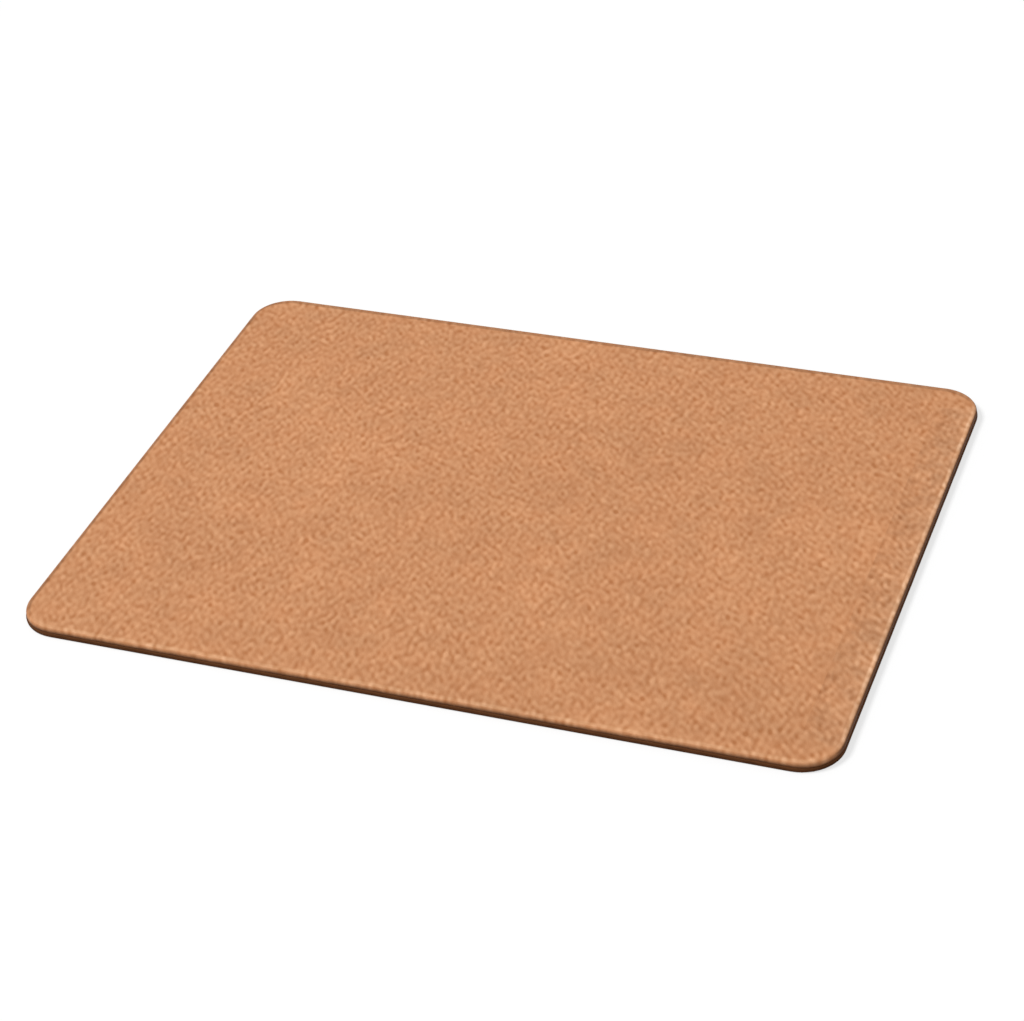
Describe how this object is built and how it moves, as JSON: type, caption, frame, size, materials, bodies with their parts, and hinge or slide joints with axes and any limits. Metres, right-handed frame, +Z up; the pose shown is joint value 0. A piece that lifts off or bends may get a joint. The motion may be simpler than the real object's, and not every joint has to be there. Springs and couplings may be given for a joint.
{
  "type": "mouse pad",
  "caption": "Flat rounded-rectangle mouse pad of tan grained leather on a stiff core and a rubber base, with a dark sealed edge, which lies on a desk under a mouse.",
  "frame": {"origin": "on the desk, under the middle of the pad", "axes": "+X along the long side, +Y away from the user, +Z up, out of the leather face"},
  "size_m": [0.24, 0.18, 0.0032],
  "materials": {
    "tan_leather": "fine pebbled grain, low sheen",
    "dark_edge_paint": "satin edge paint",
    "fibre_board": "bonded leather fibre, matte",
    "clear_glue": "dried contact adhesive",
    "brown_rubber": "matte embossed non-slip rubber"
  },
  "bodies": {
    "root": {"rubber_base": "brown_rubber", "lower_glue_film": "clear_glue", "core_board": "fibre_board", "upper_glue_film": "clear_glue", "leather_top": "tan_leather", "edge_coat": "dark_edge_paint"}
  },
  "joints": []
}
